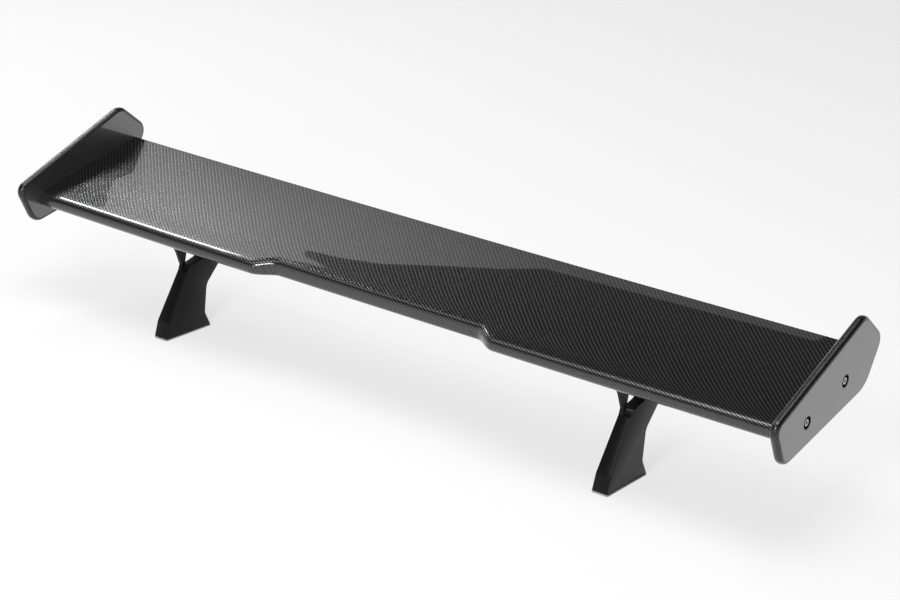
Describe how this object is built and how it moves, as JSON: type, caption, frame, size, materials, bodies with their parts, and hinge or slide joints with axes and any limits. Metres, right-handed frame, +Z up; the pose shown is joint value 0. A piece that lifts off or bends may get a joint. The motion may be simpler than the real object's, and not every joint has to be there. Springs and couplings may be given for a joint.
{
  "type": "racing rear wing",
  "caption": "Bolt-on racing rear wing: a hollow carbon aerofoil with a recessed leading edge, angular end plates and forked stands for a boot lid.",
  "frame": {"origin": "centre of the four-hole foot pattern, on the plane of the foot gaskets", "axes": "+X across the car, +Y to the rear (the trailing edge), +Z up"},
  "size_m": [1.44, 0.2922, 0.3001],
  "materials": {
    "carbon": "clear-coated carbon twill",
    "laminate": "bare glass laminate",
    "stand_black": "satin black",
    "steel": "plain stainless",
    "brass": "turned",
    "rubber": "matte",
    "gasket": "closed-cell foam, matte"
  },
  "bodies": {
    "root": {"wing_upper_skin": "carbon", "wing_lower_skin": "carbon", "front_spar": "laminate", "rear_spar": "laminate", "tip_rib_left": "laminate", "tip_rib_right": "laminate", "inner_ribs_left": "laminate", "inner_ribs_right": "laminate", "stand_block_left": "laminate", "stand_block_right": "laminate", "tip_inserts_left": "brass", "tip_inserts_right": "brass", "stand_inserts_left": "brass", "stand_inserts_right": "brass", "end_plate_left": "carbon", "end_plate_right": "carbon", "plate_cup_washers_left": "stand_black", "plate_cup_washers_right": "stand_black", "plate_screws_left": "steel", "plate_screws_right": "steel", "stand_left": "stand_black", "stand_right": "stand_black", "saddle_pad_left": "rubber", "saddle_pad_right": "rubber", "stand_washers_left": "steel", "stand_washers_right": "steel", "stand_bolts_left": "steel", "stand_bolts_right": "steel", "foot_inserts_left": "brass", "foot_inserts_right": "brass", "foot_gasket_left": "gasket", "foot_gasket_right": "gasket"}
  },
  "joints": []
}
